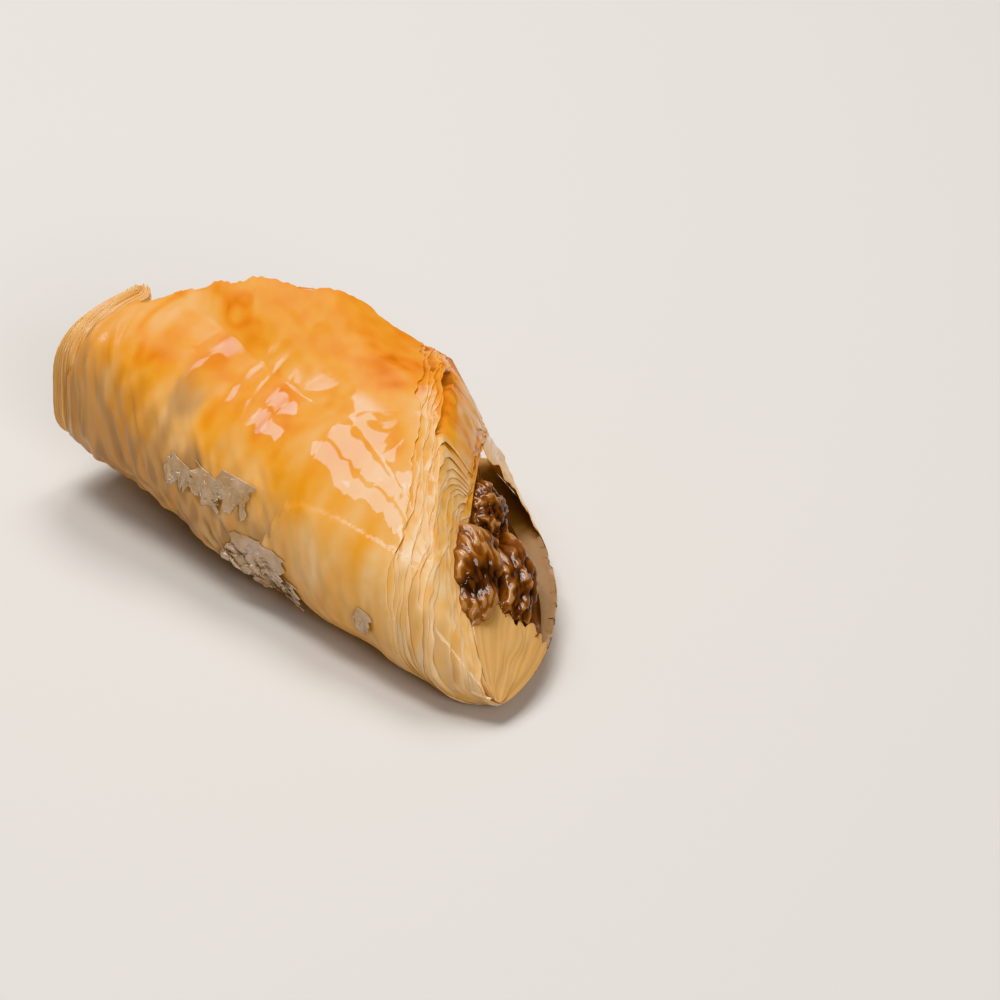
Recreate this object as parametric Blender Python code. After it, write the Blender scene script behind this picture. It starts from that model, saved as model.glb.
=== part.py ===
"""Walnut baklava: a square stack of thin pastry sheets folded corner to corner over shelled walnuts.

The diagonal of the square is the fold, which runs along X. The piece is a triangle from above, closed
along the fold and open along its two cut edges, where the walnuts show. It lies on Z = 0 with the
origin under the middle of its box: -X is the tall end, +X the low one, +Y the corner off the fold.
"""
import math

import bpy
import bmesh
import numpy as np

# Driving dimensions in metres. A triple is the size at the tall end, the middle and the low end.
HALF_FOLD = 0.047
FILLING_RISE = 0.0171
DOME_RISE = 0.005
DOME_CENTRE = (-0.020, 0.0165)
DOME_RADIUS = 0.0092
UPPER_STACK = (0.0120, 0.0100, 0.0059)
LOWER_STACK = (0.0109, 0.0041, 0.0028)
FOLD_BULGE = (0.0174, 0.0170, 0.0055)
FOLD_SWEEP = (0.0005, 0.0, -0.0105)
TALL_END_LIFT = 0.0052
TALL_END_SQUARE = 0.59
LOWER_LIP_OUT_NEAR = 0.0117
LOWER_LIP_OUT_FAR = 0.0075
LOWER_LIP_CURL = 0.0020
LIP_LEAN = 0.73
LIP_ROUND = 1.07
UPPER_LIP_BACK = 0.0023
FOOT_SETTLE = 0.0003

# The sheets are stepped in groups: how far back the outermost group stops from the innermost one
LEAF_STEPS = 7
STEP_BACK_NEAR = 0.0095
STEP_BACK_FAR = 0.0055
STEP_BACK_BELOW = 0.0025
TALL_END_STEP = 0.8
LEAF_WAVE = 0.0007
TOP_RIPPLE = 0.0004
SHEET_CELLS = 30

# The walnuts: gap to the sheets, how far they fill the flaps and the fold, and how far the faces
# sink between the halves that show, with their crags
WALNUT_GAP = 0.0007
WALNUT_END_GAP = 0.0018
WALNUT_REACH = 0.90
WALNUT_ENDS = 0.82
WALNUT_ROWS = 56
WALNUT_LOOP_CELLS = 20
WALNUT_FACE_CELLS = 16
FACE_SINK = 0.0016
FACE_RIM = 0.0025
CRAG = 0.0006
CRAG_SIZE = 0.0050

# Walnut halves that show: side of the piece (1 low end, -1 tall end), place of the centre along the
# cut edge and across the opening as shares, half length, half width and height
WALNUT_HALVES = (
    (1, 0.34, 0.30, 0.0095, 0.0048, 0.0060),
    (1, 0.38, 0.68, 0.0115, 0.0042, 0.0055),
    (1, 0.60, 0.48, 0.0060, 0.0055, 0.0042),
    (1, 0.80, 0.50, 0.0050, 0.0045, 0.0030),
    (-1, 0.36, 0.45, 0.0085, 0.0058, 0.0058),
    (-1, 0.58, 0.55, 0.0075, 0.0062, 0.0064),
    (-1, 0.76, 0.50, 0.0060, 0.0048, 0.0044),
)

# Scraps of torn sheet on the fold: from and to along it, root and torn edge round it (up is positive),
# thickness, and how far the torn edge stands off
SCRAPS = (
    (-0.0105, 0.0045, 0.0030, -0.0060, 0.0008, 0.0024),
    (-0.0325, -0.0235, 0.0045, -0.0030, 0.0008, 0.0018),
)
SCRAP_CELLS = 5
SCRAP_TEAR = 0.35


def smooth(x, low, high):
    """Smooth step from 0 at low to 1 at high."""
    t = np.clip((x - low) / (high - low), 0, 1)
    return t * t * (3 - 2 * t)


def along_fold(a, sizes):
    """A size that changes along the fold, from its three named values."""
    tall, middle, low = sizes
    end = np.where(a < 0, tall, low)
    return middle + (end - middle) * smooth(np.abs(a) / HALF_FOLD, 0.05, 1)


def filling_height(a, s):
    """Height of the walnuts at a along the fold and s in from it. It is the part that is left of 1
    after the cubes of the place's three shares of the triangle, so nothing at the three corners,
    with a low round dome added towards the tall end."""
    to_apex = np.clip(s / (0.8 * HALF_FOLD), 0, 1)
    to_low = np.clip((1 - to_apex + a / HALF_FOLD) / 2, 0, 1)
    to_tall = np.clip((1 - to_apex - a / HALF_FOLD) / 2, 0, 1)
    inside = np.clip(1 - to_apex ** 3 - to_low ** 3 - to_tall ** 3, 0, 1)
    away = (a - DOME_CENTRE[0]) ** 2 + (s - DOME_CENTRE[1]) ** 2
    dome = DOME_RISE * np.exp(-away / (2 * DOME_RADIUS ** 2))
    return 0.0015 + FILLING_RISE * inside ** 0.9 + dome


def folded(u, v, depth, inset=0.0):
    """Place of a point of the square sheet after folding. u and v run along its two sides, from
    -HALF_FOLD to HALF_FOLD, and u = -v is the fold. depth is 0 on the innermost sheet and 1 on the
    outermost, and inset moves the point in towards the walnuts. Round the fold the sheet follows a
    quarter of an ellipse above and one below, squarer at the tall end, and past it the flaps lie over
    and under the filling. The rims then bow: the lower one out and up, the upper one back on the low
    end's side."""
    a = (u - v) / 2
    w = (u + v) / 2
    upper = w >= 0
    round_in = filling_height(a, 0 * a) / 2
    bulge_in = 0.75 * round_in
    bulge_out = np.maximum(along_fold(a, FOLD_BULGE), bulge_in + 0.001)
    stack = np.where(upper, along_fold(a, UPPER_STACK), along_fold(a, LOWER_STACK))
    reach_y = bulge_in + depth * (bulge_out - bulge_in) - inset
    reach_z = round_in + depth * stack - inset
    quarter = math.pi / 2 * np.sqrt((bulge_in ** 2 + round_in ** 2) / 2)
    turn = np.clip(w / quarter, -1, 1) * math.pi / 2
    flap = np.clip(np.abs(w) - quarter, 0, None)
    crown = filling_height(a, flap) - 2 * round_in
    section = 1 - (1 - TALL_END_SQUARE) * smooth(-a, 0.35 * HALF_FOLD, 0.9 * HALF_FOLD)
    climb = np.abs(np.sin(turn)) ** section
    rise = np.where(upper, climb, -climb ** 0.8)
    z = along_fold(a, LOWER_STACK) + round_in + reach_z * rise + np.where(upper, crown, 0)
    y = -reach_y * np.cos(turn) ** (0.5 + 0.5 * section) + flap + along_fold(a, FOLD_SWEEP)
    reach = (np.abs(a) + np.abs(w)) / HALF_FOLD
    share = np.abs(w) / np.maximum(reach * HALF_FOLD, 1e-6)
    bow = np.sin(math.pi * np.clip(share, 0, 1) ** LIP_LEAN) ** LIP_ROUND
    near = smooth(a, -0.003, 0.008)
    lower_out = LOWER_LIP_OUT_FAR + (LOWER_LIP_OUT_NEAR - LOWER_LIP_OUT_FAR) * near
    out = np.where(upper, -UPPER_LIP_BACK * near, lower_out) * bow * reach ** 3
    x = a + np.sign(a) * np.clip(np.abs(a) / 0.004, 0, 1) * out * math.sqrt(0.5)
    y = y + out * math.sqrt(0.5)
    z = z + np.where(upper, 0, LOWER_LIP_CURL * bow * reach ** 10)
    z = z + TALL_END_LIFT * smooth(-a, 0.21 * HALF_FOLD, HALF_FOLD)
    return np.stack([x, y, z], -1)


def leaf_wave(place, group, side):
    """Uneven line of a group's cut edge: three sines with phases drawn for that group and side."""
    draw = np.random.default_rng(100 + 10 * group + side)
    wave = 0
    for cycles in (5, 9, 14):
        wave = wave + np.sin(2 * math.pi * (cycles * place + draw.random())) / math.sqrt(cycles)
    return LEAF_WAVE * wave


def leaf_place(xi, eta, group, depth):
    """Folded place of a point of one group of sheets, at shares xi and eta of its two sides. Each
    group stops a little further back from the cut edges than the one inside it, less so at the tall
    end, where the sheets' edges stand one behind the other."""
    share = group / (LEAF_STEPS - 1)
    closer = 1 - (1 - TALL_END_STEP) * smooth(eta - xi, 0.4, 1)
    below = STEP_BACK_BELOW * share
    near = np.clip(STEP_BACK_NEAR * share + (group > 0) * leaf_wave(eta, group, 0), 0, None)
    far = np.clip(STEP_BACK_FAR * closer * share + (group > 0) * leaf_wave(xi, group, 1), 0, None)
    u = -HALF_FOLD + below * closer + xi * (2 * HALF_FOLD - below * closer - near)
    v = -HALF_FOLD + below + eta * (2 * HALF_FOLD - below - far)
    points = folded(u, v, depth)
    ripple = TOP_RIPPLE * np.sin(9 * xi + 4 * eta) * np.sin(7 * eta - 2 * xi + 1)
    points[..., 2] += ripple * depth * np.clip((u + v) / 0.03, 0, 1)
    return points


def rim_shares(cells):
    """The shares xi and eta round the edge of the square."""
    step = np.arange(cells) / cells
    zero = 0 * step
    xi = np.concatenate([step, zero + 1, 1 - step, zero])
    eta = np.concatenate([zero, step, zero + 1, 1 - step])
    return xi, eta


def rim_indices(cells):
    """Index of each rim point of a square grid of points, in the order of rim_shares."""
    xi, eta = rim_shares(cells)
    return (np.rint(eta * cells) * (cells + 1) + np.rint(xi * cells)).astype(int)


def grid_quads(cells):
    """Quads of a square grid whose points run row by row."""
    corner = np.arange(cells)[:, None] * (cells + 1) + np.arange(cells)[None, :]
    quads = np.stack([corner, corner + 1, corner + cells + 2, corner + cells + 1], -1)
    return quads.reshape(-1, 4)


def band_quads(lower, upper):
    """Quads of a closed band between two rows of point indices."""
    return np.stack([lower, np.roll(lower, -1), np.roll(upper, -1), upper], -1)


def pastry_surface():
    """The whole stack as one closed surface: the innermost sheet's inner face, the stepped cut edges,
    and the outermost sheet's outer face."""
    line = np.arange(SHEET_CELLS + 1) / SHEET_CELLS
    xi, eta = np.meshgrid(line, line)
    rim_xi, rim_eta = rim_shares(SHEET_CELLS)
    inner = leaf_place(xi, eta, 0, 0.0).reshape(-1, 3)
    outer = leaf_place(xi, eta, LEAF_STEPS - 1, 1.0).reshape(-1, 3)
    loops = []
    for group in range(LEAF_STEPS):
        if group > 0:
            loops.append(leaf_place(rim_xi, rim_eta, group, group / LEAF_STEPS))
        if group < LEAF_STEPS - 1:
            loops.append(leaf_place(rim_xi, rim_eta, group, (group + 1) / LEAF_STEPS))
    rim = rim_indices(SHEET_CELLS)
    rows = [rim]
    for number in range(len(loops)):
        rows.append(2 * len(inner) + number * len(rim) + np.arange(len(rim)))
    rows.append(len(inner) + rim)
    faces = [grid_quads(SHEET_CELLS), grid_quads(SHEET_CELLS)[:, ::-1] + len(inner)]
    faces += [band_quads(lower, upper) for lower, upper in zip(rows, rows[1:])]
    return np.concatenate([inner, outer] + loops), np.concatenate(faces)


def scrap_surface(number):
    """A scrap of sheet as a closed thin patch: its root lies inside the outermost sheet, and it stands
    off more towards its torn edge, whose line is uneven."""
    start, end, root, edge, thickness, lift = SCRAPS[number]
    draw = np.random.default_rng(40 + number)
    line = np.arange(SCRAP_CELLS + 1) / SCRAP_CELLS
    along, down = np.meshgrid(line, line)
    torn = 1 - SCRAP_TEAR * draw.random(SCRAP_CELLS + 1)
    a = start + (end - start) * along
    w = root + (edge - root) * down * torn[None, :]
    stand_off = lift * down ** 1.5 - thickness
    inner = folded(w + a, w - a, 1.0, -stand_off).reshape(-1, 3)
    outer = folded(w + a, w - a, 1.0, -stand_off - thickness).reshape(-1, 3)
    rim = rim_indices(SCRAP_CELLS)
    faces = [grid_quads(SCRAP_CELLS), grid_quads(SCRAP_CELLS)[:, ::-1] + len(inner)]
    faces.append(band_quads(rim, rim + len(inner)))
    return np.concatenate([inner, outer]), np.concatenate(faces)


def crags(points):
    """Uneven height of the walnuts' skin: the product of sines along three slanted directions."""
    waves = points @ np.array([[1.0, 0.4, -0.3], [-0.5, 1.0, 0.6], [0.2, -0.7, 1.0]]) / CRAG_SIZE
    return CRAG * np.sin(2.1 * waves[..., 0] + 1) * np.sin(2.7 * waves[..., 1]) * np.sin(1.9 * waves[..., 2])


def walnut_face(upper, lower, a):
    """Open face of the walnuts between the two flaps: straight from the upper rim to the lower one,
    then sunk between the walnut halves, each half an ellipsoid that stands out, and made craggy."""
    share = (np.arange(1, WALNUT_FACE_CELLS) / WALNUT_FACE_CELLS)[None, :]
    across = lower - upper
    outward = np.cross(np.gradient((upper + lower) / 2, axis=0), across)
    outward /= np.linalg.norm(outward, axis=1)[:, None]
    width = np.linalg.norm(across, axis=1)[:, None]
    leg = math.sqrt(2) * HALF_FOLD
    from_end = (1 - np.abs(a)[:, None] / HALF_FOLD) * leg
    height = 0 * (share + width)
    for side, along, over, half_length, half_width, rise in WALNUT_HALVES:
        reach = ((from_end - along * leg) / half_length) ** 2 + ((share - over) * width / half_width) ** 2
        on_side = np.sign(a)[:, None] == side
        height = np.maximum(height, rise * np.sqrt(np.clip(1 - reach, 0, 1)) * on_side)
    points = upper[:, None, :] + across[:, None, :] * share[..., None]
    to_rim = np.minimum(share, 1 - share) * width
    height = (height - FACE_SINK + crags(points)) * np.clip(to_rim / FACE_RIM, 0, 1)
    return points + outward[:, None, :] * height[..., None]


def walnut_surface():
    """The filling as one closed surface of rows across the fold. Each row goes from the lower rim
    round the fold to the upper rim, a gap inside the sheets, and back over the open face."""
    a = np.linspace(-WALNUT_ENDS, WALNUT_ENDS, WALNUT_ROWS)[:, None] * HALF_FOLD
    w = (HALF_FOLD - np.abs(a)) * WALNUT_REACH * np.linspace(-1, 1, WALNUT_LOOP_CELLS + 1)
    a = np.broadcast_to(a, w.shape)
    to_end = smooth(np.abs(a) / HALF_FOLD, 0.7, WALNUT_ENDS)
    skin = folded(w + a, w - a, 0.0, WALNUT_GAP + WALNUT_END_GAP * to_end)
    rows = np.concatenate([skin, walnut_face(skin[:, -1], skin[:, 0], a[:, 0])], 1)
    count = rows.shape[1]
    loop = np.arange(count)
    faces = []
    for row in range(WALNUT_ROWS - 1):
        faces += band_quads(loop + row * count, loop + (row + 1) * count).tolist()
    faces.append(loop.tolist())
    faces.append((loop + (WALNUT_ROWS - 1) * count).tolist())
    return rows.reshape(-1, 3), faces


def new_object(name, points, faces, material):
    """A mesh object of these points and faces, welded and with its normals outwards."""
    mesh = bpy.data.meshes.new(name)
    mesh.from_pydata(points.tolist(), [], [list(face) for face in faces])
    work = bmesh.new()
    work.from_mesh(mesh)
    bmesh.ops.remove_doubles(work, verts=work.verts, dist=0.00002)
    bmesh.ops.recalc_face_normals(work, faces=work.faces)
    work.to_mesh(mesh)
    work.free()
    mesh.materials.append(material)
    return bpy.data.objects.new(name, mesh)


def principled(name, colour, roughness):
    """A Principled material under a coat of syrup."""
    material = bpy.data.materials.new(name)
    material.use_nodes = True
    shader = material.node_tree.nodes["Principled BSDF"]
    shader.inputs["Base Color"].default_value = (*colour, 1)
    shader.inputs["Roughness"].default_value = roughness
    shader.inputs["Metallic"].default_value = 0
    shader.inputs["Coat Weight"].default_value = 0.8
    return material


def fuse(target, pieces):
    """Joins the pieces of a collection to the target with one Boolean, then removes them."""
    modifier = target.modifiers.new("fuse", "BOOLEAN")
    modifier.operation = "UNION"
    modifier.operand_type = "COLLECTION"
    modifier.collection = pieces
    graph = bpy.context.evaluated_depsgraph_get()
    fused = bpy.data.meshes.new_from_object(target.evaluated_get(graph))
    target.modifiers.remove(modifier)
    target.data = fused
    for piece in list(pieces.objects):
        bpy.data.objects.remove(piece, do_unlink=True)
    bpy.data.collections.remove(pieces)


def stand_on_origin(outer, inner):
    """Moves both meshes together, so that the middle of the outer one's underside is the origin, and
    settles the outer one's lowest part flat, as soaked pastry does on a plate."""
    places = np.array([vertex.co[:] for vertex in outer.data.vertices])
    low, high = places.min(0), places.max(0)
    shift = (-(low[0] + high[0]) / 2, -(low[1] + high[1]) / 2, -low[2])
    for item in (outer, inner):
        points = np.array([vertex.co[:] for vertex in item.data.vertices]) + shift
        points[points[:, 2] < FOOT_SETTLE, 2] = 0
        item.data.vertices.foreach_set("co", points.ravel())
        item.data.update()


def build():
    for old in list(bpy.data.objects):
        bpy.data.objects.remove(old, do_unlink=True)
    parts = bpy.data.collections.new("walnut_baklava")
    scraps = bpy.data.collections.new("scraps")
    for collection in (parts, scraps):
        bpy.context.scene.collection.children.link(collection)
    golden = principled("golden_pastry", (0.85, 0.42, 0.09), 0.3)
    brown = principled("candied_walnut", (0.10, 0.035, 0.012), 0.35)
    pastry = new_object("filo_pastry", *pastry_surface(), golden)
    walnuts = new_object("walnut_filling", *walnut_surface(), brown)
    for item in (pastry, walnuts):
        parts.objects.link(item)
    for number in range(len(SCRAPS)):
        scraps.objects.link(new_object(f"scrap_{number}", *scrap_surface(number), golden))
    fuse(pastry, scraps)
    stand_on_origin(pastry, walnuts)


build()
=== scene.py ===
"""Looks of the walnut baklava piece: thin filo sheets folded over walnuts, under syrup.

Metres, +Z up, the fold along X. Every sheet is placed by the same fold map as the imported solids, from its
place on the flat square: a runs along the fold, w runs from it towards the upper flap's corner.
"""
import math

import bpy
import numpy as np
from mathutils import Matrix, Vector


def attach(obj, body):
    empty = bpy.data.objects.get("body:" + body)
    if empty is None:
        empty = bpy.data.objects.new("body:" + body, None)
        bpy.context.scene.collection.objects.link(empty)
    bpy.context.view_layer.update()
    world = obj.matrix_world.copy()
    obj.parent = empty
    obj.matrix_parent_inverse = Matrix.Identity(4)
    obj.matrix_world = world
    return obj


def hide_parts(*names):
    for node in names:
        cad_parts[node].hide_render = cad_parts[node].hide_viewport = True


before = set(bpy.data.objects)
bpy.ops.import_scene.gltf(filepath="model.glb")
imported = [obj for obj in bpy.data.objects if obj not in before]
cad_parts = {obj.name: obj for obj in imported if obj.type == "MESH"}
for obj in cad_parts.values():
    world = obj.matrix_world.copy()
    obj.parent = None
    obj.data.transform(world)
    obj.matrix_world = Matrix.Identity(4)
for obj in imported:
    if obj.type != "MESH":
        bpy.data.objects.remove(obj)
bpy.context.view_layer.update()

# Camera and floor: a long lens 0.68 m off, 33 degrees above the table and 41 degrees round from the
# fold's face, rolled 3.4 degrees, with the piece to the left of its axis and below it.
view_azimuth, view_height, view_roll = (math.radians(d) for d in (41.16, 32.76, 3.41))
sideways = Vector((math.cos(view_azimuth), math.sin(view_azimuth), 0))
backwards = Vector((math.sin(view_azimuth) * math.cos(view_height),
                    -math.cos(view_azimuth) * math.cos(view_height), math.sin(view_height)))
upwards = backwards.cross(sideways)
camera_right = sideways * math.cos(view_roll) + upwards * math.sin(view_roll)
camera_up = upwards * math.cos(view_roll) - sideways * math.sin(view_roll)
camera = bpy.data.objects.new("camera", bpy.data.cameras.new("camera"))
camera.data.lens = 156.9
camera.data.sensor_width = 36
camera.location = (backwards * 0.680 + camera_right * 0.02729 + camera_up * 0.01016
                   + Vector((-0.00019, -0.00918, 0)))
camera.rotation_euler = Matrix((camera_right, camera_up, backwards)).transposed().to_euler()
bpy.context.scene.collection.objects.link(camera)
bpy.context.scene.camera = camera
bpy.context.scene.view_settings.view_transform = "Khronos PBR Neutral"

floor_mesh = bpy.data.meshes.new("floor")
floor_mesh.from_pydata([(-3, -3, 0), (3, -3, 0), (3, 3, 0), (-3, 3, 0)], [], [(0, 1, 2, 3)])
floor = bpy.data.objects.new("floor", floor_mesh)
floor_paint = bpy.data.materials.new("floor_paint")
floor_paint.use_nodes = True
floor_shader = floor_paint.node_tree.nodes["Principled BSDF"]
floor_shader.inputs["Base Color"].default_value = (0.62, 0.61, 0.60, 1)
floor_shader.inputs["Roughness"].default_value = 0.7
floor_mesh.materials.append(floor_paint)
bpy.context.scene.collection.objects.link(floor)

# Light: an overhead window of four soft panes, whose reflection breaks into bright patches on the
# syrup along the shoulder, a softbox to the right of the camera, and a dim warm room.
lit_middle = Vector((0, 0, 0.02))
for name, place, width, height, power in (
    ("pane_left_near", (-0.48, -0.12, 0.88), 0.27, 0.42, 2.8),
    ("pane_left_far", (-0.48, 0.36, 0.88), 0.27, 0.42, 2.8),
    ("pane_right_near", (-0.17, -0.12, 0.92), 0.27, 0.42, 2.8),
    ("pane_right_far", (-0.17, 0.36, 0.92), 0.27, 0.42, 2.8),
    ("front_fill", (0.85, -0.45, 0.55), 0.50, 0.40, 4.6),
):
    lamp = bpy.data.lights.new(name, "AREA")
    lamp.shape = "RECTANGLE"
    lamp.size = width
    lamp.size_y = height
    lamp.energy = power
    lamp.color = (1.0, 0.965, 0.92)
    lamp_object = bpy.data.objects.new(name, lamp)
    lamp_object.location = place
    lamp_object.rotation_euler = (Vector(place) - lit_middle).to_track_quat("Z", "Y").to_euler()
    bpy.context.scene.collection.objects.link(lamp_object)
world = bpy.data.worlds.new("room")
world.use_nodes = True
world.node_tree.nodes["Background"].inputs["Color"].default_value = (1.0, 0.96, 0.91, 1)
world.node_tree.nodes["Background"].inputs["Strength"].default_value = 0.20
bpy.context.scene.world = world

# Outermost sheet: the whole glossy top and fold, 0.3 mm thick, puffed over the walnuts. Baked golden on
# top with orange-brown blisters, beige and hazy where it turns under and painted darker there as shade, and
# torn in front of the fold.
HALF_FOLD = 0.047
FILLING_RISE = 0.0171
DOME_RISE = 0.005
DOME_CENTRE = (-0.020, 0.0165)
DOME_RADIUS = 0.0092
UPPER_STACK = (0.0120, 0.0100, 0.0059)
LOWER_STACK = (0.0109, 0.0041, 0.0028)
FOLD_BULGE = (0.0174, 0.0170, 0.0055)
FOLD_SWEEP = (0.0005, 0.0, -0.0105)
TALL_END_LIFT = 0.0052
TALL_END_SQUARE = 0.59
LOWER_LIP_OUT_NEAR = 0.0117
LOWER_LIP_OUT_FAR = 0.0075
LOWER_LIP_CURL = 0.0020
LIP_LEAN = 0.73
LIP_ROUND = 1.07
UPPER_LIP_BACK = 0.0023
MAP_ORIGIN = (-0.00019, -0.00918)
STEP_BACK_NEAR = 0.0095
STEP_BACK_FAR = 0.0055
STEP_BACK_BELOW = 0.0025
BARE_NEAR = 0.0165
SHEET_SIDE = 0.066


def smooth(x, low, high):
    """Smooth step: three times the square less twice the cube of the share of the way from low to high."""
    t = np.clip((x - low) / (high - low), 0, 1)
    return t * t * (3 - 2 * t)


def along_fold(a, sizes):
    """A size blended by smooth steps from the middle's value to the tall end's or the low end's."""
    tall, middle, low = sizes
    return middle + (np.where(a < 0, tall, low) - middle) * smooth(np.abs(a) / HALF_FOLD, 0.05, 1)


def filling_height(a, s):
    """Height of the walnuts: what is left of 1 after the cubes of the place's three shares of the
    triangle, to the power 0.9, times the rise, plus a round bell towards the tall end."""
    to_apex = np.clip(s / (0.8 * HALF_FOLD), 0, 1)
    to_low = np.clip((1 - to_apex + a / HALF_FOLD) / 2, 0, 1)
    to_tall = np.clip((1 - to_apex - a / HALF_FOLD) / 2, 0, 1)
    inside = np.clip(1 - to_apex ** 3 - to_low ** 3 - to_tall ** 3, 0, 1)
    away = (a - DOME_CENTRE[0]) ** 2 + (s - DOME_CENTRE[1]) ** 2
    return 0.0015 + FILLING_RISE * inside ** 0.9 + DOME_RISE * np.exp(-away / (2 * DOME_RADIUS ** 2))


def folded(u, v, depth, rise_off=0.0):
    """Fold map of the flat square, u and v along its sides, u = -v the fold. The place goes round a
    quarter ellipse above or below the fold, squarer at the tall end, its radii growing with depth (0
    innermost, 1 outermost), then straight over the filling's crown. The rims bow by a sine of their
    share of the way to the corner, times the cube of the distance from the square's middle. rise_off
    lifts it off outwards."""
    a = (u - v) / 2
    w = (u + v) / 2
    upper = w >= 0
    round_in = filling_height(a, 0 * a) / 2
    bulge_in = 0.75 * round_in
    bulge_out = np.maximum(along_fold(a, FOLD_BULGE), bulge_in + 0.001)
    stack = np.where(upper, along_fold(a, UPPER_STACK), along_fold(a, LOWER_STACK))
    reach_y = bulge_in + depth * (bulge_out - bulge_in) + rise_off
    reach_z = round_in + depth * stack + rise_off
    quarter = math.pi / 2 * np.sqrt((bulge_in ** 2 + round_in ** 2) / 2)
    turn = np.clip(w / quarter, -1, 1) * math.pi / 2
    flap = np.clip(np.abs(w) - quarter, 0, None)
    crown = filling_height(a, flap) - 2 * round_in
    section = 1 - (1 - TALL_END_SQUARE) * smooth(-a, 0.35 * HALF_FOLD, 0.9 * HALF_FOLD)
    climb = np.abs(np.sin(turn)) ** section
    rise = np.where(upper, climb, -climb ** 0.8)
    z = along_fold(a, LOWER_STACK) + round_in + reach_z * rise + np.where(upper, crown, 0)
    y = -reach_y * np.cos(turn) ** (0.5 + 0.5 * section) + flap + along_fold(a, FOLD_SWEEP) + MAP_ORIGIN[1]
    reach = (np.abs(a) + np.abs(w)) / HALF_FOLD
    share = np.abs(w) / np.maximum(reach * HALF_FOLD, 1e-6)
    bow = np.sin(math.pi * np.clip(share, 0, 1) ** LIP_LEAN) ** LIP_ROUND
    near = smooth(a, -0.003, 0.008)
    lower_out = LOWER_LIP_OUT_FAR + (LOWER_LIP_OUT_NEAR - LOWER_LIP_OUT_FAR) * near
    out = np.where(upper, -UPPER_LIP_BACK * near, lower_out) * bow * reach ** 3
    x = a + np.sign(a) * np.clip(np.abs(a) / 0.004, 0, 1) * out * math.sqrt(0.5) + MAP_ORIGIN[0]
    y = y + out * math.sqrt(0.5)
    z = z + np.where(upper, 0, LOWER_LIP_CURL * bow * reach ** 10)
    z = z + TALL_END_LIFT * smooth(-a, 0.21 * HALF_FOLD, HALF_FOLD)
    return np.stack([x, y, np.maximum(z, 0.00002)], -1)


def ripples(x, y, size, seed, count=26):
    """Smooth uneven field of spread 1: a sum of sines in drawn directions, with drawn phases and
    wavelengths between 0.6 and 1.6 times the size."""
    draw = np.random.default_rng(seed)
    total = 0
    for _ in range(count):
        angle = draw.uniform(0, 2 * math.pi)
        number = 2 * math.pi / (size * draw.uniform(0.6, 1.6))
        phase = draw.uniform(0, 2 * math.pi)
        total = total + np.sin(number * (x * math.cos(angle) + y * math.sin(angle)) + phase)
    return total * math.sqrt(2 / count)


def grid_faces(rows, columns):
    """Quads of a grid of points that run row by row."""
    corner = np.arange(rows)[:, None] * (columns + 1) + np.arange(columns)[None, :]
    return np.stack([corner, corner + 1, corner + columns + 2, corner + columns + 1], -1).reshape(-1, 4)


def grid_rim(rows, columns):
    """Point indices round the edge of a grid of points."""
    width = columns + 1
    return np.concatenate([np.arange(columns), columns + np.arange(rows) * width,
                           rows * width + columns - np.arange(columns), (rows - np.arange(rows)) * width])


def thin_faces(rows, columns):
    """Faces of a thin closed slab: a grid of points, the same grid again under it, and the rim between."""
    count = (rows + 1) * (columns + 1)
    rim = grid_rim(rows, columns)
    after = np.roll(rim, -1)
    sides = np.stack([rim, rim + count, after + count, after], -1)
    top = grid_faces(rows, columns)
    return np.concatenate([top, top[:, ::-1] + count, sides])


def new_piece(name, points, faces, material, node, fields):
    """A mesh piece of these points and faces, smooth-shaded, with a number field for each named
    array, that rides on the root, takes the given finish and hides the node's imported part."""
    mesh = bpy.data.meshes.new(name)
    mesh.from_pydata(points.tolist(), [], faces)
    mesh.validate()
    mesh.shade_smooth()
    for field, values in fields.items():
        numbers = mesh.attributes.new(field, "FLOAT", "POINT").data
        numbers.foreach_set("value", values.astype(np.float32).ravel())
    mesh.materials.append(material)
    piece = bpy.data.objects.new(name, mesh)
    bpy.context.scene.collection.objects.link(piece)
    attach(piece, "root")
    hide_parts(node)


# The torn edge's line: places across the fold, and how far along the fold it lies at each
TEAR_W = (-0.0100, -0.0020, 0.0000, 0.0010, 0.0025, 0.0035, 0.0040, 0.0045, 0.0052)
TEAR_A = (-0.0010, -0.0035, 0.0005, 0.0030, 0.0040, 0.0055, 0.0085, 0.0150, 0.0300)


def torn(a, w):
    """1 where the torn sheet lies over the next one and 0 past its torn edge, a line across the fold
    with small uneven teeth."""
    edge = np.interp(w, TEAR_W, TEAR_A) + 0.0004 * ripples(a, w, 0.002, 31)
    return smooth(a - edge, 0, 0.0004)


def ridge_wave(a, w):
    """Sine along the fold, 4.2 mm from ridge to ridge, its phase shaken by ripples."""
    return np.sin(2 * math.pi * a / 0.0042 + 1.6 * ripples(a, w, 0.012, 4))


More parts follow.
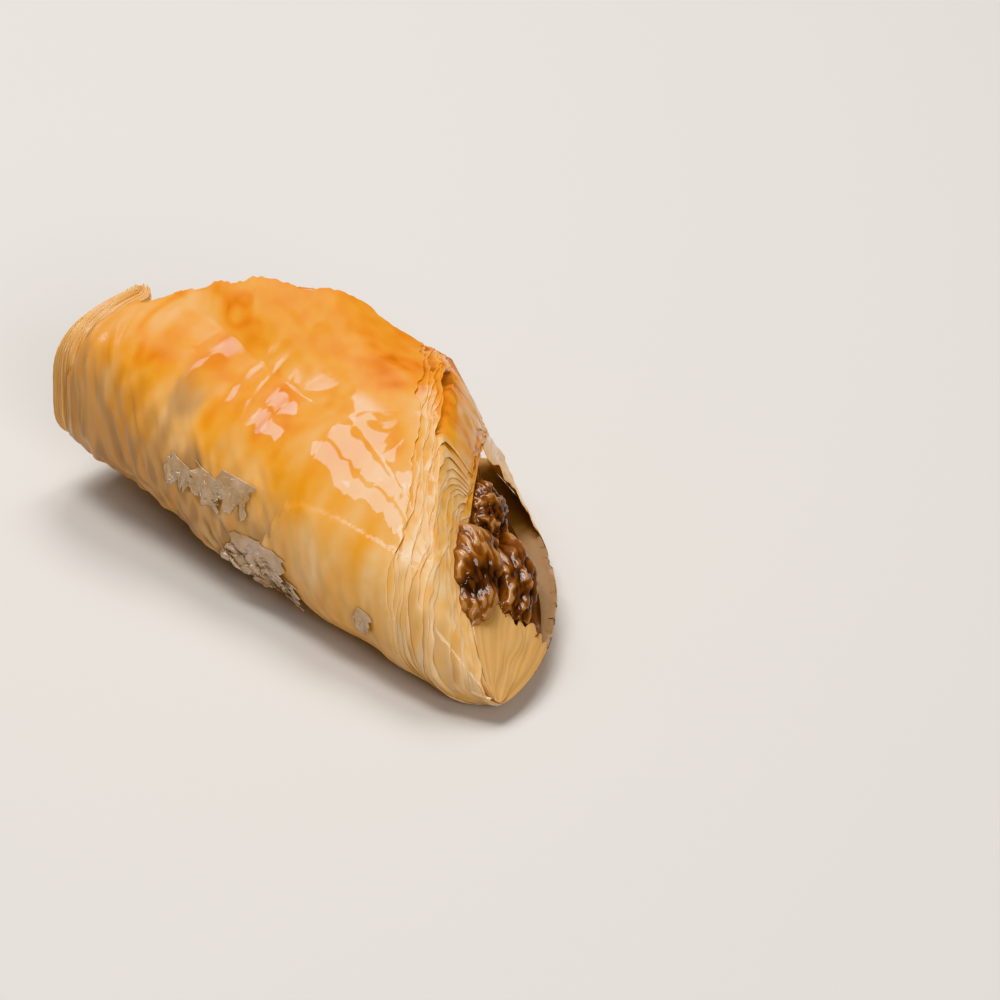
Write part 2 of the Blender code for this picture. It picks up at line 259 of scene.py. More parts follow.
def sheet_relief(a, w):
    """Height of the outermost sheet's swells, creases and wrinkles: broad ripples; facets, where the
    size of the ripples makes sharp creases; parallel ridges across the fold on the tall end's shoulder;
    streaks round the fold on its lower side; pleats along the near cut edge; and the torn edge's step."""
    u = w + a
    v = w - a
    swell = 0.00030 * ripples(a, w, 0.018, 1)
    facets = -0.00034 * np.abs(ripples(a, w, 0.021, 2)) - 0.00003 * np.abs(ripples(a, w, 0.0075, 3))
    shoulder = (smooth(a, -0.027, -0.021) * smooth(-a, 0.003, 0.009)
                * smooth(w, 0.005, 0.008) * smooth(-w, -0.016, -0.011))
    ridges = 0.00012 * ridge_wave(a, w) * shoulder
    low_side = smooth(-w, -0.007, -0.001)
    streaks = 0.00014 * ripples(a / 0.0030 + w / 0.0028, w / 0.0016, 1.0, 6)
    streaks = streaks * low_side * smooth(-a, -0.010, 0.002)
    drapes = 0.00002 * ripples((w + 0.3 * a) / 0.0017, (a - 0.3 * w) / 0.014, 1.0, 8)
    drapes = drapes * low_side * smooth(a, 0.000, 0.010)
    pleats = 0.00002 * ripples(u / 0.0019, v / 0.020, 1.0, 5)
    pleats = pleats * smooth(u, 0.023, 0.030) * smooth(-w, -0.016, -0.008)
    return swell + facets + ridges + streaks + drapes + pleats + 0.00030 * torn(a, w)


# Browner patches: place along and across the fold, half length, half width and how brown
BLISTERS = ((-0.0240, 0.0115, 0.0070, 0.0016, 0.20), (-0.0190, 0.0072, 0.0050, 0.0012, 0.26),
            (-0.0040, 0.0082, 0.0040, 0.0014, 0.26), (-0.0320, 0.0048, 0.0050, 0.0012, 0.30),
            (-0.0350, 0.0025, 0.0035, 0.0010, 0.22), (0.0020, 0.0245, 0.0110, 0.0030, 0.22))


def sheet_bake(a, w):
    """How brown the sheets are: beige round the fold, golden on top, browner on the ridge and on the
    blisters (bells, their places shaken by ripples), and paler again towards the near cut edge."""
    on_top = smooth(w + 0.0012 * ripples(a, w, 0.008, 11), 0.002, 0.0075)
    patches = ripples(a, w, 0.010, 12)
    spots = ripples(a, w, 0.0030, 13)
    paler = smooth(w + a, 0.024, 0.034) * smooth(-w, -0.030, -0.016)
    top = 0.50 + 0.05 * patches + 0.02 * spots + 0.08 * smooth(w, 0.015, 0.024)
    side = 0.25 + 0.05 * patches + 0.03 * spots + 0.10 * smooth(-a, 0.018, 0.032)
    brown = side + (top - side) * on_top
    shaken_a = a + 0.0016 * ripples(a, w, 0.006, 14)
    shaken_w = w + 0.0009 * ripples(a, w, 0.005, 15)
    for blister_a, blister_w, length, width, amount in BLISTERS:
        away = ((shaken_a - blister_a) / length) ** 2 + ((shaken_w - blister_w) / width) ** 2
        brown = brown + amount * np.exp(-away)
    return np.clip(brown - (brown - 0.14) * 0.85 * paler, 0, 1)


def sheet_haze_and_shade(a, w):
    """How hazy and wet the sheets are, with painted shade: grey-beige clouds and streaks on the tall end's
    shoulder, and over the fold's lower side a darker soaked brown, partly the wet sheet's own colour and
    partly painted shade, less where the torn sheet covers it."""
    clouds = smooth(ripples(a, w, 0.006, 16), -0.6, 1.4)
    shoulder = (smooth(a, -0.029, -0.022) * smooth(-a, 0.004, 0.014)
                * smooth(w, 0.000, 0.003) * smooth(-w, -0.0075, -0.0045))
    # Fold's lower side: soaked grey-brown, darkened further as painted shade
    below = smooth(-w, -0.0045, 0.001) * (1 - 0.55 * torn(a, w))
    streaks = smooth(ripples(a / 0.0026 + w / 0.0022, w / 0.0018, 1.0, 17), -0.5, 1.3)
    return np.clip(0.70 * shoulder * clouds + below * (0.60 + 0.40 * streaks), 0, 1)


def sheet_gloss(a, w):
    """How thick the syrup lies: thick on the shoulder from the middle to the low end, in parallel
    streaks beside it, thin on the dome and the ridge and at the tall end, medium on the side."""
    shoulder = smooth(a, -0.009, -0.004) * smooth(w, 0.0035, 0.006) * smooth(-w, -0.0165, -0.0130)
    streaks = (smooth(a, -0.026, -0.021) * smooth(-a, 0.003, 0.007)
               * smooth(w, 0.005, 0.007) * smooth(-w, -0.0135, -0.0115))
    bands = smooth(ridge_wave(a, w), -0.2, 0.6)
    side = 0.35 * smooth(-w, -0.004, -0.002)
    edges = 0.75 * smooth(w + a, 0.028, 0.034)
    return np.clip(0.06 + shoulder + 0.8 * streaks * bands + side + edges, 0, 1)


def add_ramp(nodes, stops):
    """A colour ramp node with these stops."""
    ramp = nodes.new("ShaderNodeValToRGB")
    while len(ramp.color_ramp.elements) < len(stops):
        ramp.color_ramp.elements.new(0.5)
    for element, (stop, colour) in zip(ramp.color_ramp.elements, stops):
        element.position = stop
        element.color = (*colour, 1)
    return ramp


pastry_paint = bpy.data.materials.new("baked_filo")
pastry_paint.use_nodes = True
nodes, links = pastry_paint.node_tree.nodes, pastry_paint.node_tree.links
shader = nodes["Principled BSDF"]
# Bake field: how brown the sheets baked, plus painted shade in the leaves' grooves
bake_and_shade = nodes.new("ShaderNodeAttribute")
bake_and_shade.attribute_name = "bake_and_shade"
# Haze field: hazy wet colour, with painted shade on the fold's lower side
haze_and_shade = nodes.new("ShaderNodeAttribute")
haze_and_shade.attribute_name = "haze_and_shade"
place = nodes.new("ShaderNodeTexCoord")
mottle = nodes.new("ShaderNodeTexNoise")
mottle.inputs["Scale"].default_value = 420
mottle.inputs["Detail"].default_value = 5
links.new(place.outputs["Object"], mottle.inputs["Vector"])
browned = nodes.new("ShaderNodeMath")
browned.operation = "MULTIPLY_ADD"
browned.inputs[1].default_value = 0.20
links.new(mottle.outputs["Fac"], browned.inputs[0])
links.new(bake_and_shade.outputs["Fac"], browned.inputs[2])
bake_colours = add_ramp(nodes, ((0.10, (0.98, 0.67, 0.38)), (0.34, (0.90, 0.48, 0.17)),
                                (0.60, (0.90, 0.36, 0.042)), (0.80, (0.80, 0.24, 0.018)),
                                (1.0, (0.42, 0.09, 0.007))))
links.new(browned.outputs["Value"], bake_colours.inputs["Fac"])
# Darker brown mixed in by the haze field: the soaked sheets' own colour, and painted shade on the fold's
# lower side
wet_and_shade_mix = nodes.new("ShaderNodeMix")
wet_and_shade_mix.data_type = "RGBA"
wet_and_shade_mix.inputs["B"].default_value = (0.41, 0.235, 0.115, 1)
links.new(haze_and_shade.outputs["Fac"], wet_and_shade_mix.inputs["Factor"])
links.new(bake_colours.outputs["Color"], wet_and_shade_mix.inputs["A"])
links.new(wet_and_shade_mix.outputs["Result"], shader.inputs["Base Color"])
grain = nodes.new("ShaderNodeTexNoise")
grain.inputs["Scale"].default_value = 700
grain.inputs["Detail"].default_value = 3
links.new(place.outputs["Object"], grain.inputs["Vector"])
grain_bump = nodes.new("ShaderNodeBump")
grain_bump.inputs["Strength"].default_value = 0.07
grain_bump.inputs["Distance"].default_value = 0.0003
links.new(grain.outputs["Fac"], grain_bump.inputs["Height"])
links.new(grain_bump.outputs["Normal"], shader.inputs["Normal"])
gloss = nodes.new("ShaderNodeAttribute")
gloss.attribute_name = "gloss"
links.new(gloss.outputs["Fac"], shader.inputs["Coat Weight"])
shader.inputs["Roughness"].default_value = 0.50
shader.inputs["Specular IOR Level"].default_value = 0.12
shader.inputs["Subsurface Weight"].default_value = 0.20
shader.inputs["Subsurface Radius"].default_value = (1.0, 0.45, 0.15)
shader.inputs["Subsurface Scale"].default_value = 0.0015
shader.inputs["Coat Roughness"].default_value = 0.05

cells = 280
coarse = 4
line = np.arange(cells + 1) / cells
xi, eta = np.meshgrid(line, line)
near_back = (BARE_NEAR + 0.0007 * ripples(eta * SHEET_SIDE, 0 * eta, 0.012, 21)
             + 0.0002 * ripples(eta * SHEET_SIDE, 0 * eta, 0.0022, 22))
far_back = (STEP_BACK_FAR + 0.0006 * ripples(xi * SHEET_SIDE, 0 * xi, 0.012, 23)
            + 0.0002 * ripples(xi * SHEET_SIDE, 0 * xi, 0.0022, 24))
u = -HALF_FOLD + STEP_BACK_BELOW + xi * (2 * HALF_FOLD - STEP_BACK_BELOW - near_back)
v = -HALF_FOLD + STEP_BACK_BELOW + eta * (2 * HALF_FOLD - STEP_BACK_BELOW - far_back)
a, w = (u - v) / 2, (u + v) / 2
over = folded(u, v, 1.0, sheet_relief(a, w)).reshape(-1, 3)
under = folded(u, v, 0.975, sheet_relief(a, w))[::coarse, ::coarse].reshape(-1, 3)
outer_rim = grid_rim(cells, cells).reshape(-1, coarse)
inner_rim = grid_rim(cells // coarse, cells // coarse) + len(over)
next_outer, next_inner = np.roll(outer_rim[:, 0], -1), np.roll(inner_rim, -1)
rim_faces = np.column_stack([outer_rim, next_outer, next_inner, inner_rim])
faces = grid_faces(cells, cells).tolist()
faces += (grid_faces(cells // coarse, cells // coarse)[:, ::-1] + len(over)).tolist()
faces += rim_faces[:, ::-1].tolist()
new_piece("outer_sheet", np.concatenate([over, under]), faces, pastry_paint, "filo_pastry",
          {"bake_and_shade": np.concatenate([sheet_bake(a, w).ravel(), np.full(len(under), 0.3)]),
           "haze_and_shade": np.concatenate([sheet_haze_and_shade(a, w).ravel(), np.full(len(under), 0.2)]),
           "gloss": np.concatenate([sheet_gloss(a, w).ravel(), np.full(len(under), 0.3)])})

# Stepped sheets: eighteen thin leaves under it, whose cut edges step out towards the mouths, waver and
# stick together. Cream at the edge, orange in the deepest grooves, partly syrup and partly painted shade
# under the leaf above; one broad leaf covers the high rim.
LEAVES = 18
LEAF_SPACE = 0.016


def leaves_within(back, place):
    """How many leaves' edges lie nearer the near cut edge than back: evenly spaced, but where the mouth
    is high, twelve crowd at the rim, then comes one broad bare leaf, then the other six."""
    high = smooth(place, 0.40, 0.58)
    even = back * LEAVES / BARE_NEAR
    crowded = np.interp(back, (0, 0.0016, 0.0100, BARE_NEAR, 0.05),
                        (0, 12, 12.4, LEAVES, LEAVES * 0.05 / BARE_NEAR))
    return even + high * (crowded - even)


def leaf_depth(u, v, number):
    """Depth of a leaf: at its own edge it lies on the slope of the cut edges, which is the least
    distance from a side over that side's step back, and it sinks one space for each leaf above it."""
    near, far, low_u, low_v = HALF_FOLD - u, HALF_FOLD - v, HALF_FOLD + u, HALF_FOLD + v
    slope = np.minimum(np.minimum(near / STEP_BACK_NEAR, far / STEP_BACK_FAR),
                       np.minimum(low_u, low_v) / STEP_BACK_BELOW)
    near_above = leaves_within(near, (HALF_FOLD + v) / (2 * HALF_FOLD))
    above = np.minimum(np.minimum(near_above, far * LEAVES / STEP_BACK_FAR),
                       np.minimum(low_u, low_v) * LEAVES / STEP_BACK_BELOW)
    sunk = LEAF_SPACE * np.clip(np.minimum(above, LEAVES) - number, -1, None)
    return np.clip(np.clip(slope, 0, 1) - 0.008 - sunk, 0, 1) * (number > 0)


def near_edge(number, place):
    """How far a leaf's edge lies from the near cut edge at these places along it: the first of 100
    even steps across the bare band within which as many leaves' edges lie as its number."""
    backs = np.linspace(0, BARE_NEAR, 100)[None, :]
    return backs[0][np.argmax(leaves_within(backs, place) >= number - 1e-6, axis=1)][:, None]


def leaf_ring(number, reach, cells_along):
    """One leaf's band all round its four cut edges, as a closed ring: a loop of points across it, out
    over the leaf, round its edge and back under, repeated round the square. Its edge line is where its
    turn comes among the steps, plus ripples, and the edge curls off by a decaying power."""
    seed = 200 + 10 * number
    s = np.linspace(0, 4, cells_along, endpoint=False)[:, None]
    loop = (1.0, 0.55, 0.3, 0.17, 0.09, 0.05, 0.012, 0, 0, 0.012, 0.05, 0.2, 0.5, 1.0)
    across = np.array(loop)[None, :] * reach
    under = np.array([0] * 8 + [1] * 6)[None, :]
    angle = s * math.pi / 2
    round_x, round_y = 0.042 * np.cos(angle), 0.042 * np.sin(angle)
    wave = 0.00050 * ripples(round_x, round_y, 0.012, seed)
    wave = wave + 0.00013 * ripples(round_x, round_y, 0.0026, seed + 1)
    place = np.clip(s, 0, 1)
    even = number / LEAVES
    even_near = near_edge(number, place)
    near = np.clip(even_near + wave, 0, None) + across
    far = np.clip(STEP_BACK_FAR * even + wave, 0, None) + across
    below = np.clip(STEP_BACK_BELOW * even + 0.4 * wave, 0, None) + across
    u_low, u_high, v_low, v_high = below - HALF_FOLD, HALF_FOLD - near, below - HALF_FOLD, HALF_FOLD - far
    u = u_high + (u_low - u_high) * (np.clip(s - 1, 0, 1) - np.clip(s - 3, 0, 1))
    v = v_low + (v_high - v_low) * (np.clip(s, 0, 1) - np.clip(s - 2, 0, 1))
    a, w = (u - v) / 2, (u + v) / 2
    depth = np.clip(leaf_depth(u, v, number) - 0.013 * under - 0.12 * smooth(across, 0.002, 0.009), 0, 1)
    curl = 0.00007 * np.exp(-across / 0.0008) * (0.5 + 0.5 * ripples(u, v, 0.009, seed + 4))
    spacing = np.where(s < 1, near_edge(number + 1, place) - even_near, 0.0009)
    spacing = np.clip(spacing, 0.0004, 0.02)
    tuck = smooth(across / spacing, 0.2, 1.0)
    # Painted shade: deeper orange tucked under the next leaf's edge, paler on each bare edge; partly syrup
    # colour too
    groove_syrup_and_shade = 0.02 + 0.15 * smooth(w, 0.005, 0.014)
    bake_and_shade = sheet_bake(a, w) + groove_syrup_and_shade * tuck - 0.06 * (1 - tuck) + 0.05 * ripples(u, v, 0.006, seed + 5)
    lip = smooth(-w, 0.002, 0.008) * (number < 4) * smooth(a, 0.0, 0.01)
    haze_and_shade = np.clip(0.7 * sheet_haze_and_shade(a, w) + lip + 0.12 * ripples(u, v, 0.005, seed + 6), 0, 1)
    gloss = np.clip(0.45 + 0.4 * lip + 0.25 * ripples(u, v, 0.004, seed + 7), 0.1, 1)
    points = folded(u, v, depth, curl + sheet_relief(a, w) * depth ** 2)
    return [points] + [np.broadcast_to(field, depth.shape) for field in (bake_and_shade, haze_and_shade, gloss)]


def ring_faces(rows, columns):
    """Quads of a closed ring: rows of columns points, joined round the row and from last row to first."""
    corner = np.arange(rows)[:, None] * columns
    after_row = (corner + columns) % (rows * columns)
    column = np.arange(columns)
    after = (column + 1) % columns
    quads = [corner + column, corner + after, after_row + after, after_row + column]
    return np.stack(quads, -1).reshape(-1, 4)


ring_rows = 900
for name, first in (("inner_leaves", 0), ("middle_leaves", 6), ("outer_leaves", 12)):
    rings = [leaf_ring(number, 0.014, ring_rows) for number in range(first, first + 6)]
    columns = rings[0][0].shape[1]
    points = np.concatenate([ring[0].reshape(-1, 3) for ring in rings])
    starts = ring_rows * columns * np.arange(len(rings))
    faces = np.concatenate([ring_faces(ring_rows, columns) + start for start in starts])
    new_piece(name, points, faces.tolist(), pastry_paint, "filo_pastry",
              {field: np.concatenate([ring[column].ravel() for ring in rings])
               for column, field in enumerate(("bake_and_shade", "haze_and_shade", "gloss"), 1)})

# Wet scraps and webs: bits of torn sheet that lie on the fold, soaked until they are grey-beige, a
# little clear and very glossy; a pale loose sheet at the tall end; and thin beige sheets stuck across
# both ends of the near mouth.
film_paint = bpy.data.materials.new("soaked_filo")
film_paint.use_nodes = True
nodes, links = film_paint.node_tree.nodes, film_paint.node_tree.links
shader = nodes["Principled BSDF"]
place = nodes.new("ShaderNodeTexCoord")
clouds = nodes.new("ShaderNodeTexNoise")
clouds.inputs["Scale"].default_value = 300
clouds.inputs["Detail"].default_value = 4
links.new(place.outputs["Object"], clouds.inputs["Vector"])
film_colours = add_ramp(nodes, ((0.35, (0.58, 0.38, 0.21)), (0.50, (0.66, 0.46, 0.29)),
                                (0.65, (0.71, 0.53, 0.40))))
links.new(clouds.outputs["Fac"], film_colours.inputs["Fac"])
links.new(film_colours.outputs["Color"], shader.inputs["Base Color"])
film_bump = nodes.new("ShaderNodeBump")
film_bump.inputs["Strength"].default_value = 0.3
film_bump.inputs["Distance"].default_value = 0.0006
links.new(clouds.outputs["Fac"], film_bump.inputs["Height"])
links.new(film_bump.outputs["Normal"], shader.inputs["Normal"])
shader.inputs["Roughness"].default_value = 0.25
shader.inputs["Transmission Weight"].default_value = 0.25
shader.inputs["IOR"].default_value = 1.4
shader.inputs["Coat Weight"].default_value = 1.0
shader.inputs["Coat Roughness"].default_value = 0.04


def scrap(name, start, end, root, edge, lift, seed):
    """A scrap of sheet on the fold, a closed thin slab: rows from its root to its torn edge, whose line
    and whose two ends are shifted by ripples, standing off by the power 1.5 of the way to the edge."""
    rows, columns = 40, 70
    down, along = np.meshgrid(np.linspace(0, 1, rows + 1), np.linspace(0, 1, columns + 1), indexing="ij")
    tear = 1 - 0.30 * smooth(ripples(along, 0 * along, 0.28, seed), -1.2, 1.6)
    tear = tear + 0.05 * ripples(along, 0 * along, 0.06, seed + 1)
    ragged = 0.06 * ripples(down, along * 0.3, 0.3, seed + 2)
    a = start + (end - start) * (along + ragged)
    w = root + (edge - root) * down * tear
    stand_off = 0.0001 + lift * down ** 1.5 + 0.00006 * ripples(a, w, 0.004, seed + 3) * down
    off = sheet_relief(a, w) + stand_off
    points = [folded(w + a, w - a, 1.0, off + more).reshape(-1, 3) for more in (0.00014, 0)]
    faces = thin_faces(rows, columns)[:, ::-1]
    new_piece(name, np.concatenate(points), faces.tolist(), film_paint, "filo_pastry", {})


# From and to along the fold, root and torn edge round it, how far the edge stands off, and the seed
scrap("torn_flake", -0.0040, 0.0070, 0.0002, -0.0026, 0.0008, 411)
scrap("torn_lobe", -0.0005, 0.0100, -0.0012, -0.0044, 0.0010, 421)
scrap("wet_scrap_0", -0.0185, -0.0138, 0.0020, 0.0004, 0.0003, 431)
scrap("wet_scrap_1", -0.0135, -0.0068, 0.0026, 0.0008, 0.0003, 441)
scrap("wet_scrap_2", -0.0078, -0.0018, 0.0034, 0.0013, 0.0003, 451)
scrap("torn_tab", 0.0225, 0.0258, 0.0006, -0.0006, 0.0005, 461)


def tall_flap(rows, columns):
    """The pale, scalloped sheet that sticks out at the tall end, a closed thin slab from 8.5 mm inside
    the cut edge to 0.4 mm past it, with scallops of a sine's size and ripples, and fine pleats."""
    out, round_fold = np.meshgrid(np.linspace(0, 1, rows + 1), np.linspace(0, 1, columns + 1),
                                  indexing="ij")
    scallop = 0.0007 * np.abs(np.sin(4.5 * math.pi * round_fold))
    scallop = scallop + 0.0002 * ripples(round_fold, 0 * out, 0.05, 491)
    v = HALF_FOLD - 0.0085 + out * (0.0089 + scallop) * (1 - 0.45 * smooth(round_fold, 0.70, 1))
    u = -HALF_FOLD + 0.0012 + 0.0105 * round_fold
    pleats = 0.00010 * ripples(round_fold / 0.03, out / 0.5, 1.0, 492)
    depth = 0.90 - 0.18 * out * smooth(round_fold, 0.3, 1)
    points = [folded(u, v, depth, pleats + more).reshape(-1, 3) for more in (0.00016, 0)]
    shade = np.tile(ripples(round_fold / 0.04, out / 0.6, 1.0, 493).ravel(), 2)
    faces = thin_faces(rows, columns)
    new_piece("tall_end_flap", np.concatenate(points), faces.tolist(), pastry_paint, "filo_pastry",
              {"bake_and_shade": 0.22 + 0.05 * shade, "haze_and_shade": 0.35 + 0.2 * shade, "gloss": 0.5 + 0.2 * shade})


tall_flap(40, 160)


def mouth_point(along, over, side):
    """Place in a mouth: along its cut edge as a share of the way from the fold's end to the far corner,
    and over it as a share of the way from the upper flap's rim to the lower one's."""
    a = side * HALF_FOLD * (1 - along)
    w = HALF_FOLD * along
    upper_rim = folded(w + a, w - a, 0 * a)
    lower_rim = folded(-w + a, -w - a, 0 * a)
    return upper_rim * (1 - over[..., None]) + lower_rim * over[..., None]


def web(name, side, ends, swell, seed, material):
    """A thin sheet stuck across a mouth, a closed slab between the two rims: from the first share along
    it to a torn edge given at the upper rim, the middle and the lower rim, swollen outwards by a sine."""
    rows, columns = 60, 60
    share, over = np.meshgrid(np.linspace(0, 1, rows + 1), np.linspace(0, 1, columns + 1), indexing="ij")
    start, at_upper, at_middle, at_lower = ends
    edge = np.interp(over, (0, 0.5, 1), (at_upper, at_middle, at_lower))
    edge = edge + 0.010 * ripples(over, 0 * over, 0.18, seed)
    along = np.clip(start + (edge - start) * share, 0.004, 0.996)
    outward = np.array([side * math.sqrt(0.5), math.sqrt(0.5), 0])
    bulge = swell * np.sin(math.pi * over) * np.sin(math.pi * np.clip(along / 0.5, 0, 1) / 2)
    uneven = 0.0002 * ripples(along * 3, over, 0.35, seed + 1) * np.sin(math.pi * over)
    uneven = uneven + 0.00004 * ripples(over / 0.10, along / 0.5, 1.0, seed + 2) * np.sin(math.pi * over)
    top = mouth_point(along, over, side) + (bulge + uneven)[..., None] * outward
    under = top - 0.00018 * outward
    top, under = top.reshape(-1, 3), under.reshape(-1, 3)
    streaks = np.tile(ripples(over / 0.07, along / 0.6, 1.0, seed + 3).ravel(), 2)
    faces = thin_faces(rows, columns)[:, ::int(np.sign(at_middle - start))]
    new_piece(name, np.concatenate([top, under]), faces.tolist(), material, "filo_pastry",
              {"bake_and_shade": 0.28 + 0.03 * streaks, "haze_and_shade": 0.45 + 0.08 * streaks, "gloss": 0.7 + 0.2 * streaks})


web("tip_web", 1, (0.0, 0.36, 0.25, 0.22), 0.0020, 471, pastry_paint)
web("corner_web", 1, (1.0, 0.72, 0.70, 0.66), 0.0008, 481, pastry_paint)

# Walnuts: a craggy bed that fills the fold, and in the mouths halves and pieces 12 to 22 mm long, with a
# furrow down the middle and lobes. Dark brown under syrup, amber on the ridges, tan where the skin is thin.
WALNUT_REACH = 0.90
WALNUT_ENDS = 0.76
WALNUT_GAP = 0.0007
WALNUT_END_GAP = 0.0018
FACE_SINK = 0.0016


def walnut_bed(rows, loop_cells, face_cells):
    """The filling as rows across the fold: from the lower rim round the fold to the upper rim, a gap
    inside the sheets, and back over the open face, which is sunk and pushed about by ripples."""
    a = np.linspace(-WALNUT_ENDS, WALNUT_ENDS, rows)[:, None] * HALF_FOLD
    w = (HALF_FOLD - np.abs(a)) * WALNUT_REACH * np.linspace(-1, 1, loop_cells + 1)
    a = np.broadcast_to(a, w.shape)
    gap = WALNUT_GAP + WALNUT_END_GAP * smooth(np.abs(a) / HALF_FOLD, 0.65, WALNUT_ENDS)
    skin = folded(w + a, w - a, 0 * a, -gap)
    upper, lower = skin[:, -1], skin[:, 0]
    share = (np.arange(1, face_cells) / face_cells)[None, :, None]
    across = lower - upper
    outward = np.cross(np.gradient((upper + lower) / 2, axis=0), across)
    outward /= np.linalg.norm(outward, axis=1)[:, None]
    face = upper[:, None, :] + across[:, None, :] * share
    width = np.linalg.norm(across, axis=1)[:, None, None]
    to_rim = np.clip(np.minimum(share, 1 - share) * width / 0.0025, 0, 1)
    bumps = np.tanh(1.5 * ripples(face[..., 0] + face[..., 1], face[..., 2] * 1.3, 0.0065, 501))[..., None]
    fine = ripples(face[..., 0] + face[..., 1], face[..., 2], 0.0018, 502)[..., None]
    face = face + outward[:, None, :] * to_rim * (0.0011 * bumps + 0.0002 * fine - FACE_SINK)
    ridge = np.concatenate([0.3 + 0 * skin[..., 0], (0.35 + 0.35 * bumps + 0.08 * fine)[..., 0]], 1)
    return np.concatenate([skin, face], 1), ridge


def kernel(centre, long_way, out_way, sizes, lobed, seed):
    """A walnut half as a closed ball of rows from pole to pole: an ellipsoid pushed in and out by a
    steep function of ripples, which leaves flat-topped lobes with narrow furrows, and by a middle furrow."""
    rows, columns = 90, 120
    polar = np.linspace(0, math.pi, rows)[1:-1, None]
    around = np.linspace(0, 2 * math.pi, columns, endpoint=False)[None, :]
    ball = np.stack([np.cos(polar) + 0 * around, np.sin(polar) * np.cos(around),
                     np.sin(polar) * np.sin(around)], -1)
    ball = np.concatenate([[[1.0, 0, 0]], ball.reshape(-1, 3), [[-1.0, 0, 0]]])
    lobes = ripples(ball[:, 0] * 1.9 + ball[:, 2] * 0.6, ball[:, 1] * 1.1 - ball[:, 2] * 0.8, 1.3, seed)
    lobes = np.tanh(1.6 * lobes)
    furrow = np.exp(-(ball[:, 1] / 0.13) ** 2) * smooth(ball[:, 2], -0.2, 0.4)
    small = np.tanh(1.3 * ripples(ball[:, 0] * 2 + ball[:, 2], ball[:, 1] * 2 - ball[:, 2], 0.55, seed + 1))
    scale = 1 + lobed * (0.09 * lobes - 0.18 * furrow) + 0.030 * small
    side_way = np.cross(out_way, long_way)
    axes = np.array([long_way, side_way / np.linalg.norm(side_way), out_way])
    points = np.array(centre) + (ball * scale[:, None] * np.array(sizes)) @ axes
    ring = np.arange(columns)
    after = (ring + 1) % columns
    last = 1 + (rows - 3) * columns
    faces = np.stack([0 * ring, 1 + ring, 1 + after], -1).tolist()
    faces += np.stack([0 * ring + len(ball) - 1, last + after, last + ring], -1).tolist()
    start = 1 + np.arange(rows - 3)[:, None] * columns
    quads = [start + ring, start + columns + ring, start + columns + after, start + after]
    faces += np.stack(quads, -1).reshape(-1, 4).tolist()
    ridge = np.clip(0.45 + lobed * (0.3 * lobes - 0.6 * furrow) + 0.18 * small, 0, 1)
    return points, faces, ridge


walnut_paint = bpy.data.materials.new("candied_walnut")
walnut_paint.use_nodes = True
nodes, links = walnut_paint.node_tree.nodes, walnut_paint.node_tree.links
shader = nodes["Principled BSDF"]
ridge_value = nodes.new("ShaderNodeAttribute")
ridge_value.attribute_name = "ridge"
place = nodes.new("ShaderNodeTexCoord")
skin_spots = nodes.new("ShaderNodeTexNoise")
skin_spots.inputs["Scale"].default_value = 500
skin_spots.inputs["Detail"].default_value = 5
links.new(place.outputs["Object"], skin_spots.inputs["Vector"])
ridge_sum = nodes.new("ShaderNodeMath")
ridge_sum.operation = "MULTIPLY_ADD"
ridge_sum.inputs[1].default_value = 0.5
links.new(skin_spots.outputs["Fac"], ridge_sum.inputs[0])
links.new(ridge_value.outputs["Fac"], ridge_sum.inputs[2])
walnut_colours = add_ramp(nodes, ((0.32, (0.022, 0.006, 0.002)), (0.66, (0.12, 0.033, 0.007)),
                                  (0.94, (0.27, 0.092, 0.020)), (1.0, (0.40, 0.20, 0.08))))
links.new(ridge_sum.outputs["Value"], walnut_colours.inputs["Fac"])
links.new(walnut_colours.outputs["Color"], shader.inputs["Base Color"])
skin_bump = nodes.new("ShaderNodeBump")
skin_bump.inputs["Strength"].default_value = 0.6
skin_bump.inputs["Distance"].default_value = 0.0006
links.new(skin_spots.outputs["Fac"], skin_bump.inputs["Height"])
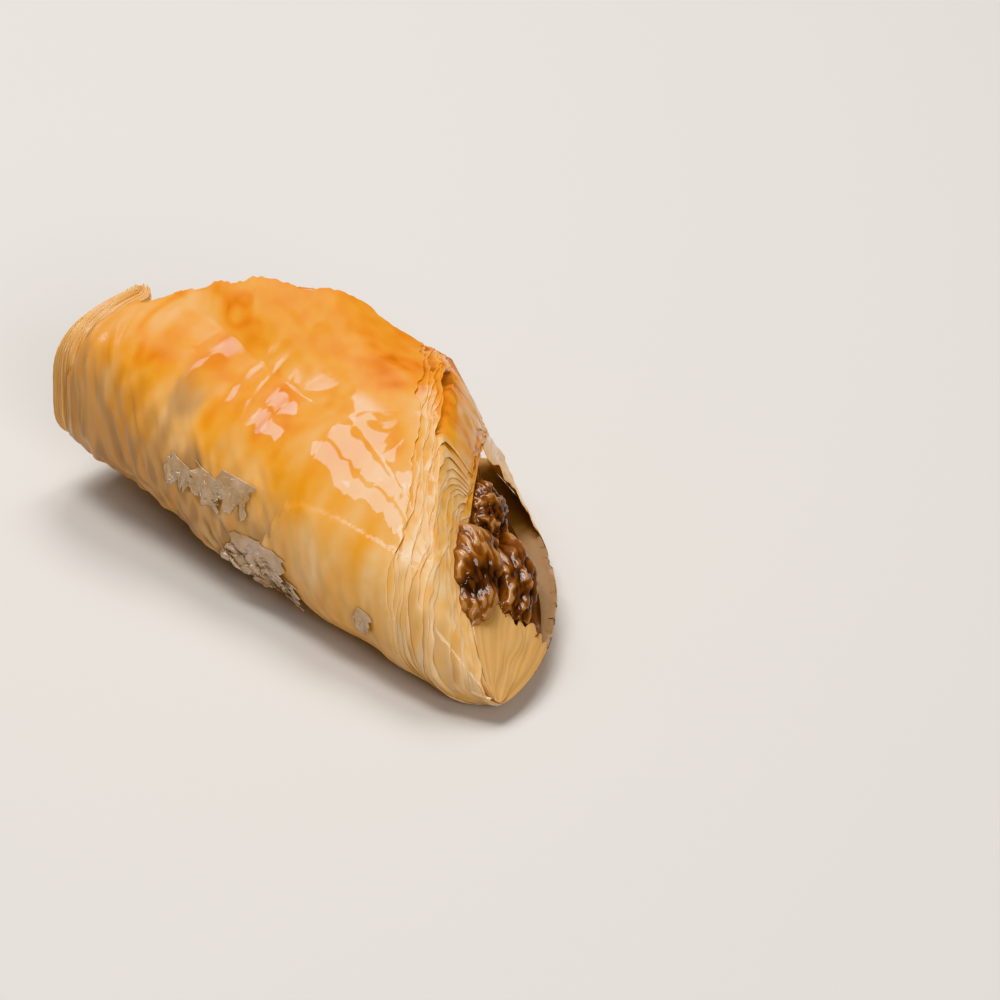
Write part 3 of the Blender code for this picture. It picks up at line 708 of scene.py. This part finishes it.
links.new(skin_bump.outputs["Normal"], shader.inputs["Normal"])
shader.inputs["Roughness"].default_value = 0.45
shader.inputs["Specular IOR Level"].default_value = 0.15
shader.inputs["Coat Weight"].default_value = 0.7
shader.inputs["Coat Roughness"].default_value = 0.04

bed_rows, loop_cells, face_cells = 260, 60, 80
bed, ridge = walnut_bed(bed_rows, loop_cells, face_cells)
columns = bed.shape[1]
faces = ring_faces(bed_rows, columns)[:(bed_rows - 1) * columns, ::-1].tolist()
faces.append(list(range(columns)))
faces.append([(bed_rows - 1) * columns + column for column in range(columns)][::-1])
new_piece("walnut_bed", bed.reshape(-1, 3), faces, walnut_paint, "walnut_filling", {"ridge": ridge})

for number, (side, along, over, turn, sizes, lobed, seed) in enumerate((
    (1, 0.34, 0.30, 0.15, (0.0100, 0.0060, 0.0058), 1.0, 301),
    (1, 0.39, 0.69, 0.00, (0.0112, 0.0046, 0.0052), 0.7, 302),
    (1, 0.58, 0.42, 0.10, (0.0060, 0.0050, 0.0044), 0.7, 303),
    (-1, 0.36, 0.45, 0.00, (0.0085, 0.0058, 0.0052), 1.0, 304),
    (-1, 0.58, 0.55, 0.10, (0.0075, 0.0062, 0.0058), 1.0, 305),
    (-1, 0.76, 0.50, 0.00, (0.0060, 0.0048, 0.0040), 0.8, 306),
)):
    spots = np.array([[along - 0.02, along + 0.02], [over, over]])
    low, high = mouth_point(spots[0] * 0.95, spots[1], side)
    long_way = (high - low) / np.linalg.norm(high - low)
    out_way = np.array([side * math.sqrt(0.5), math.sqrt(0.5), 0.35])
    out_way = out_way - np.dot(out_way, long_way) * long_way
    out_way /= np.linalg.norm(out_way)
    side_way = np.cross(out_way, long_way)
    long_way = long_way * math.cos(turn) + side_way * math.sin(turn)
    centre = (low + high) / 2 - 0.0042 * np.array([side * math.sqrt(0.5), math.sqrt(0.5), 0])
    points, faces, ridge = kernel(centre, long_way, out_way, sizes, lobed, seed)
    new_piece(f"walnut_half_{number}", points, faces, walnut_paint, "walnut_filling", {"ridge": ridge})
